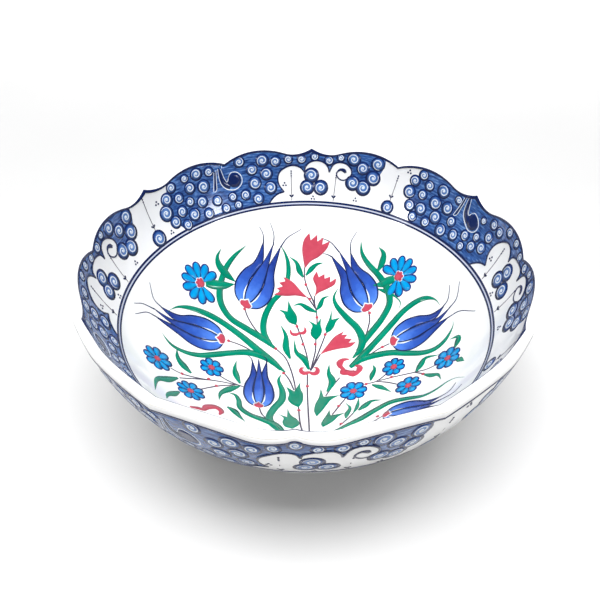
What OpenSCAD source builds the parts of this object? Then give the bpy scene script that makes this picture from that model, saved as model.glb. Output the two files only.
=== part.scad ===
// Hand-painted ceramic bowl with a bracket-lobed rim.
// A fired body stands on a luted foot ring and wears three coats of clear glaze.
// Millimetres, +Z up, origin on the table under the middle of the foot.

/* [Bowl] */
// Diameter over the rim
rim_d = 250; // [230:5:270]
// Height from the table to the top of a lobe
bowl_h = 116; // [108:1:122]
// Thickness of the lip, glaze included
lip_w = 4.6; // [3.6:0.1:6]
// Height of the inside floor above the table
floor_z = 16; // [15:1:19]
// Height at which the outer curve would cross the axis
belly_z = 3; // [2:1:5]

/* [Rim] */
// Depth of a notch below the top of a lobe
notch_drop = 5; // [3:0.5:6]
// Angle from a notch to the top of a lobe
lobe_az = 11; // [10:0.5:12]
// Angle from a notch to the bottom of the dip beside a cusp
dip_az = 24; // [23.5:0.5:24.5]
// Radius of that dip
dip_r = 20; // [18:1:22]

/* [Foot] */
// Outer diameter of the foot ring
foot_d = 100; // [90:2:108]
// Thickness of the foot ring
foot_w = 7; // [5:1:9]
// Height of the turned base inside the foot ring
base_z = 10; // [8:0.5:11]
// Height of the bare clay above the table
bare_h = 3; // [2:0.5:4]

/* [Glaze] */
// Thickness of the clear glaze
glaze = 0.6; // [0.4:0.1:0.8]

/* [Hidden] */
$fn = 180;

// The rim edge repeats at each of six notches: three straight cuts make them in pairs.
rim_cuts = 3;
cut_turn = 60;

// Both walls are parts of spheres. Each passes through its rim and meets the axis below.
function wall_r(rim_r, axis_z) = (pow(rim_r, 2) + pow(bowl_h - axis_z, 2)) / (2 * (bowl_h - axis_z));
outer_r = wall_r(rim_d / 2, belly_z);
inner_r = wall_r(rim_d / 2 - lip_w, floor_z);
outer_mid_z = belly_z + outer_r;
inner_mid_z = floor_z + inner_r;

// The rim edge seen along a notch: a lobe arc runs smoothly into a hollow dip arc.
edge_r = (rim_d - lip_w) / 2;
lobe_x = edge_r * sin(lobe_az);
lobe_r = (pow(lobe_x, 2) + pow(notch_drop, 2)) / (2 * notch_drop);
lobe_mid_z = bowl_h - lobe_r;
dip_x = edge_r * sin(dip_az);
dip_mid_z = lobe_mid_z + sqrt(pow(lobe_r + dip_r, 2) - pow(dip_x - lobe_x, 2));
join_x = lobe_x + (dip_x - lobe_x) * lobe_r / (lobe_r + dip_r);
// The air block over the rim is wider than the bowl's sector and taller than its lobes.
air_half_w = 90;
air_low_z = 90;
air_top_z = 150;

// Rounding of the foot's two standing corners
foot_edge_r = 1.5;
foot_out_r = foot_d / 2;
foot_in_r = foot_out_r - foot_w;
// The foot ring and its glaze start out this tall and are cut off by the wall above.
foot_tall = 25;

// Half section of a wall between an inner and an outer sphere
module wall_section(in_r, out_r) {
    intersection() {
        square([rim_d, bowl_h + 1]);
        difference() {
            translate([0, outer_mid_z]) circle(out_r);
            translate([0, inner_mid_z]) circle(in_r);
        }
    }
}

// Half section of the clay body, with its base turned flat inside the foot
module body_section() {
    intersection() {
        wall_section(inner_r + glaze, outer_r - glaze);
        translate([0, base_z]) square([rim_d, bowl_h]);
    }
}

// What stands below the rim edge on one side of a notch
module rim_half() {
    intersection() {
        translate([lobe_x, lobe_mid_z]) circle(lobe_r);
        square([join_x, air_top_z]);
    }
    difference() {
        translate([join_x, 0]) square([air_half_w, dip_mid_z]);
        translate([dip_x, dip_mid_z]) circle(dip_r);
    }
}

// The air above the rim edge, seen along a notch
module rim_air() {
    difference() {
        translate([-air_half_w, air_low_z]) square([2 * air_half_w, air_top_z - air_low_z]);
        rim_half();
        mirror([1, 0]) rim_half();
    }
}

// Cuts the bracket lobes into the top of its children, lowered by drop
module with_lobed_rim(drop) {
    difference() {
        children();
        for (i = [0 : rim_cuts - 1])
            rotate([0, 0, i * cut_turn])
                translate([-rim_d, 0, -drop])
                    rotate([90, 0, 90])
                        linear_extrude(2 * rim_d) rim_air();
    }
}

// Fired stone-paste body of the bowl
module bowl_body() {
    color("ivory")
        with_lobed_rim(glaze)
            rotate_extrude() body_section();
}

// Foot ring with a flat, unglazed standing edge, luted under the body
module foot_ring() {
    color("wheat")
        rotate_extrude()
            difference() {
                union() {
                    translate([foot_in_r + foot_edge_r, 0])
                        square([foot_w - 2 * foot_edge_r, foot_tall]);
                    translate([foot_in_r, foot_edge_r])
                        square([foot_w, foot_tall]);
                    for (x = [foot_in_r + foot_edge_r, foot_out_r - foot_edge_r])
                        translate([x, foot_edge_r]) circle(foot_edge_r);
                }
                translate([0, outer_mid_z]) circle(outer_r - glaze);
            }
}

// Clear glaze over the painted inside
module inner_glaze() {
    color("white")
        with_lobed_rim(0)
            rotate_extrude()
                intersection() {
                    square([rim_d, bowl_h + 1]);
                    translate([0, inner_mid_z])
                        difference() {
                            circle(inner_r + glaze);
                            circle(inner_r);
                        }
                }
}

// Half section of everything that the outer glaze covers, with the skirt down the foot
module outer_glaze_section() {
    intersection() {
        translate([foot_out_r, bare_h]) square([rim_d, bowl_h]);
        union() {
            wall_section(inner_r + glaze, outer_r);
            translate([foot_out_r, bare_h]) square([glaze, foot_tall / 2]);
        }
    }
}

// Clear glaze over the painted outside, the lip and the side of the foot
module outer_glaze() {
    color("aliceblue")
        difference() {
            with_lobed_rim(0)
                rotate_extrude() outer_glaze_section();
            with_lobed_rim(glaze)
                rotate_extrude() wall_section(inner_r, outer_r - glaze);
        }
}

// Clear glaze under the base, inside the foot ring
module base_glaze() {
    color("whitesmoke")
        rotate_extrude()
            difference() {
                union() {
                    translate([0, base_z - glaze]) square([foot_in_r, foot_tall / 2]);
                    translate([foot_in_r - glaze, bare_h]) square([glaze, base_z]);
                }
                intersection() {
                    translate([0, outer_mid_z]) circle(outer_r - glaze);
                    translate([-1, base_z]) square([rim_d, rim_d]);
                }
            }
}

bowl_body();
foot_ring();
inner_glaze();
outer_glaze();
base_glaze();
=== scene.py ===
"""A hand-painted ceramic bowl with a bracket-lobed rim, a blue scroll band and a bouquet.

Every painted motif is a thin closed patch of pigment. It is drawn flat, in millimetres, on one
of three sheets of paper, and the paper is then laid on the bowl: the well sheet covers the
inside, and a band sheet runs round each side of the wall under the rim.
"""

import math

import bpy
import numpy as np
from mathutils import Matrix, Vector
from mathutils.geometry import delaunay_2d_cdt


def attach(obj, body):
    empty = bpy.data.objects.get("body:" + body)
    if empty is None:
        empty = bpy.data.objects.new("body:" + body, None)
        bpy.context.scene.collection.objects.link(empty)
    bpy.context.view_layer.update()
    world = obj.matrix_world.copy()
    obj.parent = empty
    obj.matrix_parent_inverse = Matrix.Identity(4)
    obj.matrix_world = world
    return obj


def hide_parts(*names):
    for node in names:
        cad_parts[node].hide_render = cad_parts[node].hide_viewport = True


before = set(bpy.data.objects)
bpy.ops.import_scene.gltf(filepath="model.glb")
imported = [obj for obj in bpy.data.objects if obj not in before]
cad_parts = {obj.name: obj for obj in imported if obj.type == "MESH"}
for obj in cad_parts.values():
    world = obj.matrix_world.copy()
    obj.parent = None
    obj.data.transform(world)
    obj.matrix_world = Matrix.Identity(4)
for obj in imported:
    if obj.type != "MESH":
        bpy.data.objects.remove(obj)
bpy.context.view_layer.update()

MM = 0.001

# The CAD model's driving sizes, in millimetres and degrees
RIM_D = 250.0
BOWL_H = 116.0
LIP_W = 4.6
FLOOR_Z = 16.0
BELLY_Z = 3.0
NOTCH_DROP = 5.0
LOBE_AZ = 11.0
DIP_AZ = 24.0
DIP_R = 20.0
FOOT_R = 50.0
BARE_H = 3.0
GLAZE = 0.6
SECTOR = 60.0


def wall_radius(rim_r, axis_z):
    """Radius of a spherical wall through its rim and the point where it meets the axis."""
    rise = BOWL_H - axis_z
    return (rim_r**2 + rise**2) / (2 * rise)


OUT_R = wall_radius(RIM_D / 2, BELLY_Z)
IN_R = wall_radius(RIM_D / 2 - LIP_W, FLOOR_Z)
OUT_MID_Z = BELLY_Z + OUT_R
IN_MID_Z = FLOOR_Z + IN_R

# The rim edge seen along a notch: a lobe arc that runs into a hollow dip arc
EDGE_R = (RIM_D - LIP_W) / 2
LOBE_X = EDGE_R * math.sin(math.radians(LOBE_AZ))
LOBE_R = (LOBE_X**2 + NOTCH_DROP**2) / (2 * NOTCH_DROP)
LOBE_MID_Z = BOWL_H - LOBE_R
DIP_X = EDGE_R * math.sin(math.radians(DIP_AZ))
DIP_MID_Z = LOBE_MID_Z + math.sqrt((LOBE_R + DIP_R) ** 2 - (DIP_X - LOBE_X) ** 2)
JOIN_X = LOBE_X + (DIP_X - LOBE_X) * LOBE_R / (LOBE_R + DIP_R)


def rim_height(az, radius):
    """Height of the rim edge at an azimuth in degrees; notches are at 30, 90, 150 and so on."""
    from_notch = abs(az % SECTOR - SECTOR / 2)
    x = radius * math.sin(math.radians(from_notch))
    if x < JOIN_X:
        return LOBE_MID_Z + math.sqrt(LOBE_R**2 - (x - LOBE_X) ** 2)
    return DIP_MID_Z - math.sqrt(DIP_R**2 - (x - DIP_X) ** 2)


def wall_at(radius, mid_z, z):
    """Distance of a spherical wall from the axis at a height."""
    return math.sqrt(radius**2 - (mid_z - z) ** 2)


# ---------------------------------------------------------------- papers

# Heights of the ring lines inside and outside, and the same as arcs from the bottom of the bowl
RING_Z = 79.3
OUT_RING_Z = 71.5
IN_RING = math.acos((IN_MID_Z - RING_Z) / IN_R)
OUT_RING = math.acos((OUT_MID_Z - OUT_RING_Z) / OUT_R)
# A degree of azimuth is this many millimetres of band paper
DEG = 2.02
# Motifs are drawn by height above the ring line, and stretched to the length of the sloping wall
IN_STRETCH = 1.07
OUT_STRETCH = 1.23 / 1.07
# How far below the rim edge each band stops
IN_EDGE_DROP = 1.5
OUT_EDGE_DROP = 4.6
# Pigment reaches this deep into the glaze, so that a patch is a closed solid
SINK = 0.12
# Red is laid thickest: it is a raised slip, on top of everything it meets
RED_LIFT = 0.20
# The painting and the camera sit this many degrees round from the rim's own axis
TURN = -2.0


def on_sphere(arc, az, radius, mid_z):
    """A point on a spherical wall, from its arc angle above the bottom and its azimuth."""
    flat = radius * np.sin(arc)
    return np.stack([flat * np.sin(az), flat * np.cos(az), mid_z - radius * np.cos(arc)], -1)


def well_paper(x, y, lift):
    az = np.arctan2(x, y) + math.radians(TURN)
    return on_sphere(np.hypot(x, y) / IN_R, az, IN_R - lift, IN_MID_Z)


def inside_paper(x, y, lift):
    return on_sphere(IN_RING + y / IN_R, np.radians(x / DEG), IN_R - lift, IN_MID_Z)


def outside_paper(x, y, lift):
    arc = OUT_RING + y * OUT_STRETCH / OUT_R
    return on_sphere(arc, math.pi - np.radians(x / DEG), OUT_R + lift, OUT_MID_Z)


def inside_top(az):
    """Paper height of the inside band's upper edge at an azimuth."""
    z = rim_height(az, RIM_D / 2 - LIP_W) - IN_EDGE_DROP
    return (math.acos((IN_MID_Z - z) / IN_R) - IN_RING) * IN_R


def outside_top(az):
    """Paper height of the outside band's upper edge at an azimuth from the front."""
    z = rim_height(180 - az, RIM_D / 2) - OUT_EDGE_DROP
    return (math.acos((OUT_MID_Z - z) / OUT_R) - OUT_RING) * OUT_R / OUT_STRETCH


# ---------------------------------------------------------------- flat shapes


def curve(points, step=1.2):
    """A smooth line through points, with a point about every step millimetres."""
    p = np.array(points, float)
    p = np.vstack([2 * p[0] - p[1], p, 2 * p[-1] - p[-2]])
    out = []
    for a, b, c, d in zip(p[:-3], p[1:-2], p[2:-1], p[3:]):
        count = max(2, int(math.dist(b[:2], c[:2]) / step))
        for t in np.arange(count) / count:
            out.append(0.5 * (2 * b + (c - a) * t + (2 * a - 5 * b + 4 * c - d) * t**2
                              + (3 * b - a - 3 * c + d) * t**3))
    out.append(p[-2])
    return np.array(out)


def corners(*runs, step=1.2):
    """One closed outline from smooth runs that meet at corners."""
    parts = [curve(run, step) for run in runs]
    return np.vstack([part[:-1] for part in parts])


def toothed(left, teeth, right):
    """A closed outline from a smooth left edge, pointed teeth and a smooth right edge."""
    tips = [left[-1], *teeth, right[0]]
    return corners(left, *zip(tips, tips[1:]), right + left[:1])


class Sheet:
    """Flat painted shapes in millimetres, gathered before they are laid on the bowl."""

    def __init__(self):
        self.points = []
        self.tones = []
        self.tris = []
        self.count = 0

    def add(self, points, tris, tones):
        self.points.append(np.asarray(points, float))
        self.tones.append(np.asarray(tones, float))
        self.tris.append(np.asarray(tris, int) + self.count)
        self.count += len(points)

    def ribbon(self, line, widths, tone=(0.0, 1.0)):
        """A brush stroke along a line of points; widths are spread evenly over its points."""
        line = np.asarray(line, float)
        half = spread(widths, len(line)) / 2
        along = np.gradient(line, axis=0)
        along /= np.hypot(*along.T)[:, None] + 1e-9
        side = np.stack([-along[:, 1], along[:, 0]], 1) * np.maximum(half, 0.05)[:, None]
        points = np.stack([line + side, line, line - side], 1).reshape(-1, 2)
        tris = []
        for i in range(len(line) - 1):
            for j in (0, 1):
                a = 3 * i + j
                tris += [(a, a + 1, a + 4), (a, a + 4, a + 3)]
        self.add(points, tris, np.tile([tone[0], tone[1], tone[0]], len(line)))

    def stroke(self, points, widths, tone=(0.0, 1.0)):
        """A brush stroke smoothed through a few points, whose width follows along with them."""
        smooth = curve(np.column_stack([points, spread(widths, len(points))]))
        self.ribbon(smooth[:, :2], smooth[:, 2], tone)

    def outline(self, loop, tone=None, grid=2.4):
        """A filled shape inside a closed outline."""
        loop = np.asarray(loop, float)
        low = loop.min(0) + grid / 2
        high = loop.max(0)
        seeds = np.array([(x, y) for x in np.arange(low[0], high[0], grid)
                          for y in np.arange(low[1], high[1], grid)]).reshape(-1, 2)
        seeds = seeds[inside_loop(seeds, loop)] if len(seeds) else seeds
        points = [Vector(p) for p in np.vstack([loop, seeds])]
        out = delaunay_2d_cdt(points, [], [list(range(len(loop)))], 1, 1e-5)
        flat = np.array([tuple(p) for p in out[0]])
        tris = [f for f in out[2] if len(f) == 3]
        self.add(flat, [turned_up(flat, f) for f in tris], (tone or even_tone)(flat))

    def disc(self, x, y, radius, tone=0.5, sides=20):
        """A round spot, with its own tone in the middle and 0 at its edge."""
        turn = np.linspace(0, 2 * np.pi, sides, endpoint=False)
        ring = np.stack([np.cos(turn), np.sin(turn)], 1)
        points = np.vstack([[0, 0], ring * radius * 0.55, ring * radius]) + (x, y)
        tris = []
        for i in range(sides):
            j = (i + 1) % sides
            tris.append((0, 1 + i, 1 + j))
            a, b = 1 + i, 1 + j
            tris += [(a, a + sides, b + sides), (a, b + sides, b)]
        self.add(points, tris, [tone] * (sides + 1) + [0.0] * sides)


def spread(values, count):
    """Values resampled evenly to another count."""
    return np.interp(np.linspace(0, 1, count), np.linspace(0, 1, len(values)), values)


def even_tone(points):
    return np.full(len(points), 0.5)


def inside_loop(points, loop):
    """Which points are inside a closed outline and clear of it."""
    found = np.zeros(len(points), bool)
    for (x1, y1), (x2, y2) in zip(loop, np.roll(loop, -1, 0)):
        crosses = (y1 > points[:, 1]) != (y2 > points[:, 1])
        if y1 != y2:
            found ^= crosses & (points[:, 0] < (x2 - x1) * (points[:, 1] - y1) / (y2 - y1) + x1)
    gap = np.hypot(*(points[:, None] - loop[None]).transpose(2, 0, 1)).min(1)
    return found & (gap > 0.8)


def turned_up(points, face):
    """The face with its corners in counter-clockwise order."""
    a, b, c = (points[i] for i in face)
    cross = (b[0] - a[0]) * (c[1] - a[1]) - (b[1] - a[1]) * (c[0] - a[0])
    return tuple(face) if cross > 0 else tuple(face)[::-1]


def lay(name, sheet, paper, lift, material):
    """Lays a sheet on the bowl as one closed piece of pigment, lift millimetres proud."""
    flat = np.vstack(sheet.points)
    tris = np.vstack(sheet.tris)
    tones = np.concatenate(sheet.tones)
    top = paper(flat[:, 0], flat[:, 1], lift)
    return thin_solid(name, top, paper(flat[:, 0], flat[:, 1], -SINK), tris, tones, material)


def thin_solid(name, top, bottom, tris, tones, material):
    """A closed piece between two matching skins."""
    count = len(top)
    points = np.vstack([top, bottom])
    edges = dict.fromkeys(edge for a, b, c in tris for edge in ((a, b), (b, c), (c, a)))
    rim = [(a, b) for a, b in edges if (b, a) not in edges]
    faces = [tuple(t) for t in tris] + [tuple(t[::-1] + count) for t in tris]
    faces += [(b, a, a + count, b + count) for a, b in rim]
    mesh = bpy.data.meshes.new(name)
    mesh.from_pydata((points * MM).tolist(), [], [tuple(int(i) for i in f) for f in faces])
    mesh.polygons.foreach_set("use_smooth", [True] * (2 * len(tris)) + [False] * len(rim))
    tone = mesh.attributes.new("tone", "FLOAT", "POINT")
    tone.data.foreach_set("value", np.tile(tones, 2))
    mesh.materials.append(material)
    piece = bpy.data.objects.new(name, mesh)
    bpy.context.scene.collection.objects.link(piece)
    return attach(piece, "root")


# ---------------------------------------------------------------- materials


def new_material(name, roughness, coat=0.0):
    """A material with its shader, and the two node lists to build its colour with."""
    material = bpy.data.materials.new(name)
    material.use_nodes = True
    shader = material.node_tree.nodes["Principled BSDF"]
    shader.inputs["Roughness"].default_value = roughness
    shader.inputs["IOR"].default_value = 1.45
    shader.inputs["Coat Weight"].default_value = coat
    shader.inputs["Coat Roughness"].default_value = 0.03
    return material, shader, material.node_tree.nodes, material.node_tree.links


def noise(nodes, links, scale, detail=3.0, stretch=(1, 1, 1)):
    """Noise over the object's own coordinates, in repeats per metre."""
    place = nodes.new("ShaderNodeTexCoord")
    mapping = nodes.new("ShaderNodeMapping")
    mapping.inputs["Scale"].default_value = stretch
    texture = nodes.new("ShaderNodeTexNoise")
    texture.inputs["Scale"].default_value = scale
    texture.inputs["Detail"].default_value = detail
    links.new(place.outputs["Object"], mapping.inputs["Vector"])
    links.new(mapping.outputs["Vector"], texture.inputs["Vector"])
    return texture.outputs["Fac"]


def ramp(nodes, links, value, *stops):
    """A colour ramp over a value; each stop is (position, (red, green, blue))."""
    node = nodes.new("ShaderNodeValToRGB")
    band = node.color_ramp
    while len(band.elements) < len(stops):
        band.elements.new(1.0)
    for element, (position, colour) in zip(band.elements, stops):
        element.position = position
        element.color = (*colour, 1)
    links.new(value, node.inputs["Fac"])
    return node.outputs["Color"]


def arithmetic(nodes, links, operation, a, b):
    node = nodes.new("ShaderNodeMath")
    node.operation = operation
    for socket, value in zip(node.inputs, (a, b)):
        if isinstance(value, (int, float)):
            socket.default_value = value
        else:
            links.new(value, socket)
    return node.outputs["Value"]


def bump(nodes, links, shader, height, strength, distance):
    node = nodes.new("ShaderNodeBump")
    node.inputs["Strength"].default_value = strength
    node.inputs["Distance"].default_value = distance
    links.new(height, node.inputs["Height"])
    links.new(node.outputs["Normal"], shader.inputs["Normal"])


def srgb(red, green, blue):
    """A colour from its everyday 0 to 255 values."""
    values = [v / 255 for v in (red, green, blue)]
    return tuple(v / 12.92 if v < 0.04045 else ((v + 0.055) / 1.055) ** 2.4 for v in values)


PIGMENT_ROUGHNESS = 0.16
BRUSH_GRAIN = 300


def pigment(name, dark, middle, light, grain=260, mottle=0.5, stretch=(1, 1, 1),
            roughness=PIGMENT_ROUGHNESS):
    """Brushed pigment under the glaze: darker where the brush line pooled, lighter between."""
    material, shader, nodes, links = new_material(name, roughness)
    tone = nodes.new("ShaderNodeAttribute")
    tone.attribute_name = "tone"
    cloud = noise(nodes, links, grain, 4.0, stretch)
    mottling = arithmetic(nodes, links, "MULTIPLY_ADD", cloud, mottle)
    mottling.node.inputs[2].default_value = -mottle / 2
    value = arithmetic(nodes, links, "ADD", tone.outputs["Fac"], mottling)
    colour = ramp(nodes, links, value, (0.05, dark), (0.5, middle), (0.95, light))
    links.new(colour, shader.inputs["Base Color"])
    bump(nodes, links, shader, cloud, 0.05, 0.0002)
    return material


def plain_pigment(name, colour):
    """Even pigment under the glaze, with the faint grain of the brush in its surface."""
    material, shader, nodes, links = new_material(name, PIGMENT_ROUGHNESS)
    shader.inputs["Base Color"].default_value = (*colour, 1)
    bump(nodes, links, shader, noise(nodes, links, BRUSH_GRAIN, 4.0), 0.05, 0.0002)
    return material


def glaze_material(name, low, high):
    """Clear glossy glaze over a white ground, with the faint waves of a dipped coat."""
    material, shader, nodes, links = new_material(name, 0.09, coat=0.15)
    cloud = noise(nodes, links, 18, 2.0)
    links.new(ramp(nodes, links, cloud, (0.3, low), (0.7, high)), shader.inputs["Base Color"])
    bump(nodes, links, shader, noise(nodes, links, 90, 2.0), 0.10, 0.0004)
    return material


def clay_material(name, low, high):
    """Bare fired clay, matt, with fine grit."""
    material, shader, nodes, links = new_material(name, 0.75)
    cloud = noise(nodes, links, 120, 6.0)
    links.new(ramp(nodes, links, cloud, (0.35, low), (0.65, high)), shader.inputs["Base Color"])
    bump(nodes, links, shader, noise(nodes, links, 1800, 3.0), 0.5, 0.0003)
    return material


WHITE = glaze_material("clear_glaze", srgb(243, 243, 243), srgb(250, 250, 250))
BODY = clay_material("fired_body", srgb(238, 234, 224), srgb(246, 243, 236))
CLAY = clay_material("bare_clay", srgb(214, 199, 174), srgb(232, 220, 198))
WASH = pigment("cobalt_wash", srgb(20, 45, 100), srgb(58, 98, 164), srgb(126, 168, 220),
               grain=620, mottle=1.9, stretch=(0.3, 0.3, 1.5))
DARK = plain_pigment("cobalt_dark", srgb(18, 36, 86))
MID = pigment("cobalt_mid", srgb(34, 64, 124), srgb(72, 112, 176), srgb(116, 156, 210), mottle=0.8)
RESERVE = plain_pigment("reserved_white", srgb(226, 234, 244))
INK = plain_pigment("navy_ink", srgb(20, 34, 80))
LILAC = plain_pigment("ring_wash", srgb(200, 206, 226))
ROYAL = pigment("royal_blue", srgb(30, 48, 124), srgb(48, 86, 178), srgb(90, 142, 232),
                grain=180, mottle=0.35)
TURQUOISE = pigment("turquoise", srgb(0, 96, 176), srgb(0, 122, 194), srgb(10, 156, 216),
                    grain=220, mottle=0.45)
PETAL_EDGE = plain_pigment("petal_edge", srgb(28, 48, 116))
GREEN = pigment("emerald", srgb(0, 106, 82), srgb(2, 126, 98), srgb(12, 144, 114),
                grain=110, mottle=0.9)
RED = pigment("coral_red", srgb(172, 56, 76), srgb(184, 67, 86), srgb(196, 82, 98),
              grain=240, mottle=0.8, roughness=0.3)
THREAD = plain_pigment("thin_ink", srgb(74, 66, 84))


# ---------------------------------------------------------------- the bowl itself

COLUMNS = 480
# The lip's roll starts this far below the rim edge on each side
LIP_IN = 2.2
LIP_OUT = 2.8
LIP_FULLNESS = 2.5
FOOT_FILLET = 3.0
# The coat is a little thinner than the two CAD glazes that it stands for
SHELL = GLAZE * 0.8
# The back of the coat is set this far down the wall from its front, in radians
BACK_DROP = 0.02


def lip_points(az, count):
    """Section over the rounded lip, from the inside wall to the outside wall."""
    in_r = RIM_D / 2 - LIP_W
    out_r = RIM_D / 2
    z_in = rim_height(az, in_r) - LIP_IN
    z_out = rim_height(az, out_r) - LIP_OUT
    r_in = wall_at(IN_R, IN_MID_Z, z_in)
    r_out = wall_at(OUT_R, OUT_MID_Z, z_out)
    middle = (r_in + r_out) / 2
    half = (r_out - r_in) / 2
    points = []
    for turn in np.linspace(0, math.pi, count):
        across = -math.copysign(abs(math.cos(turn)) ** (2 / LIP_FULLNESS), math.cos(turn))
        height = math.sin(turn) ** (2 / LIP_FULLNESS)
        radius = middle + half * across
        drop = LIP_IN if across < 0 else LIP_OUT
        points.append((radius, rim_height(az, radius) - drop * (1 - height)))
    return points, z_in, z_out


def wall_run(radius, mid_z, first, last, count):
    """Section points along a spherical wall between two arc angles."""
    return [(radius * math.sin(t), mid_z - radius * math.cos(t))
            for t in np.linspace(first, last, count)]


def foot_run(z_foot):
    """Section points of the outer coat's hollow fillet into the foot, and of its skirt."""
    skirt_r = FOOT_R + GLAZE
    fillet = []
    for t in np.linspace(0, 1, 8)[1:]:
        radius = skirt_r + (FOOT_R + FOOT_FILLET - skirt_r) * (1 - t) ** 2
        fillet.append((radius, z_foot - FOOT_FILLET * t**2))
    return fillet + [(skirt_r, BARE_H + 1.2), (skirt_r, BARE_H + 0.4),
                     (skirt_r - GLAZE / 2, BARE_H), (FOOT_R, BARE_H)]


def glaze_section(az):
    """Closed section of the glaze coat at one azimuth, from the floor round to the floor."""
    lip, z_in, z_out = lip_points(az, 15)
    arc_in = math.acos((IN_MID_Z - z_in) / IN_R)
    z_foot = OUT_MID_Z - math.sqrt(OUT_R**2 - (FOOT_R + FOOT_FILLET) ** 2)
    arc_out = math.acos((OUT_MID_Z - z_out) / OUT_R)
    arc_foot = math.acos((OUT_MID_Z - z_foot) / OUT_R)
    inside = wall_run(IN_R, IN_MID_Z, 0, arc_in, 76)[1:-1]
    outside = wall_run(OUT_R, OUT_MID_Z, arc_out, arc_foot, 48)[1:]
    back_out = wall_run(OUT_R - SHELL, OUT_MID_Z, arc_foot - BACK_DROP, arc_out - BACK_DROP, 16)
    back_in = wall_run(IN_R + SHELL, IN_MID_Z, arc_in - BACK_DROP, 0, 26)[:-1]
    crest = [(EDGE_R, rim_height(az, EDGE_R) - 1.5)]
    return inside + lip + outside + foot_run(z_foot) + back_out + crest + back_in


def make_glaze():
    """The glossy white coat that shows, one smooth solid over the whole bowl."""
    rows = len(glaze_section(0))
    points = []
    for column in range(COLUMNS):
        az = 360 * column / COLUMNS
        sine, cosine = math.sin(math.radians(az)), math.cos(math.radians(az))
        points += [(r * sine * MM, r * cosine * MM, z * MM) for r, z in glaze_section(az)]
    faces = []
    for column in range(COLUMNS):
        here = column * rows
        there = (column + 1) % COLUMNS * rows
        for row in range(rows - 1):
            faces.append((here + row, here + row + 1, there + row + 1, there + row))
    top_pole = len(points)
    points += [(0, 0, FLOOR_Z * MM), (0, 0, (FLOOR_Z - SHELL) * MM)]
    for column in range(COLUMNS):
        here = column * rows
        there = (column + 1) % COLUMNS * rows
        faces.append((top_pole, here, there))
        faces.append((top_pole + 1, there + rows - 1, here + rows - 1))
    mesh = bpy.data.meshes.new("glaze_coat")
    mesh.from_pydata(points, [], faces)
    mesh.polygons.foreach_set("use_smooth", [True] * len(faces))
    mesh.materials.append(WHITE)
    coat = bpy.data.objects.new("glaze_coat", mesh)
    bpy.context.scene.collection.objects.link(coat)
    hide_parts("inner_glaze", "outer_glaze")
    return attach(coat, "root")


# The rim line lies between these depths below the rim edge, in this many rows
RIM_LINE_LOW = 1.85
RIM_LINE_HIGH = 0.75
RIM_LINE_ROWS = 4


def make_rim_line():
    """The navy line that follows the inner edge of the lip all the way round."""
    top, bottom, tris = [], [], []
    for column in range(COLUMNS):
        az = 360 * column / COLUMNS
        r, z = np.array(lip_points(az, 41)[0][:21]).T
        crest = rim_height(az, EDGE_R)
        levels = np.linspace(crest - RIM_LINE_LOW, crest - RIM_LINE_HIGH, RIM_LINE_ROWS)
        radii = np.interp(levels, z, r)
        lean = np.gradient(radii, levels)
        for radius, level, slope in zip(radii, levels, lean):
            inward = np.array([-1, slope]) / math.hypot(1, slope)
            for side, depth in ((top, 0.08), (bottom, -SINK)):
                at = np.array([radius, level]) + inward * depth
                side.append((at[0] * math.sin(math.radians(az)),
                             at[0] * math.cos(math.radians(az)), at[1]))
        here = RIM_LINE_ROWS * column
        there = RIM_LINE_ROWS * ((column + 1) % COLUMNS)
        for k in range(RIM_LINE_ROWS - 1):
            tris += [(here + k, there + k, there + k + 1), (here + k, there + k + 1, here + k + 1)]
    tris = np.array(tris)[:, ::-1]
    tones = np.full(len(top), 0.5)
    thin_solid("rim_line", np.array(top), np.array(bottom), tris, tones, INK)


def dress_cad_nodes():
    """Materials for the CAD nodes that stay: body, foot ring and base glaze."""
    for node, material in (("bowl_body", BODY), ("foot_ring", CLAY), ("base_glaze", WHITE)):
        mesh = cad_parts[node].data
        mesh.materials.clear()
        mesh.materials.append(material)


# ---------------------------------------------------------------- the scroll band

# Where the four repeats of a band are centred, in degrees: from the back, or from the front
INSIDE_REPEATS = (-96, -2.5, 84.5, 178)
OUTSIDE_REPEATS = (-92, 1, 91, 181)
# The same for what hangs in the white gap after each repeat
INSIDE_GAPS = (-94, -1, 89, 176)
OUTSIDE_GAPS = (-90, 1, 91, 180)
# The outside repeats are painted a little narrower
OUTSIDE_SQUEEZE = 0.94

# Scroll spots of one repeat: degrees from the rim cusp, height above the ring, radius
SPOTS = [
    (-47, 2.5, 3.2), (-51, 7.5, 3.6), (-53, 15, 4.6), (-51, 22.5, 3.8), (-48, 28, 3.0),
    (-47, 11.5, 3.4), (-46.5, 20, 3.2), (-42.5, 30, 2.4), (-43, 6.5, 3.8), (-43, 15, 2.8),
    (-41.5, 23, 3.4), (-38, 30, 3.6), (-38.5, 12, 3.6), (-36.5, 21, 4.0), (-33.5, 29, 2.8),
    (-37.5, 3.5, 3.4), (-33, 9.5, 3.2), (-30.5, 3, 3.0), (-27, 9, 2.8), (-25.5, 3, 2.6),
    (-22, 8.5, 3.2), (-17.5, 4.5, 3.6), (-18, 15, 4.0), (-18.5, 24, 3.4), (-22.5, 30.5, 3.2),
    (-12.5, 10.5, 4.0), (-13.5, 20, 3.8), (-14.5, 29, 3.8), (-10, 27.5, 3.2), (-5.5, 28.5, 2.6),
    (-1, 28.5, 2.6), (3.5, 30.5, 2.4), (8.5, 29, 2.8), (12.5, 30.5, 2.2), (17, 30, 4.0),
    (20.5, 25, 3.8), (25.5, 29.5, 4.0),
]
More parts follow.
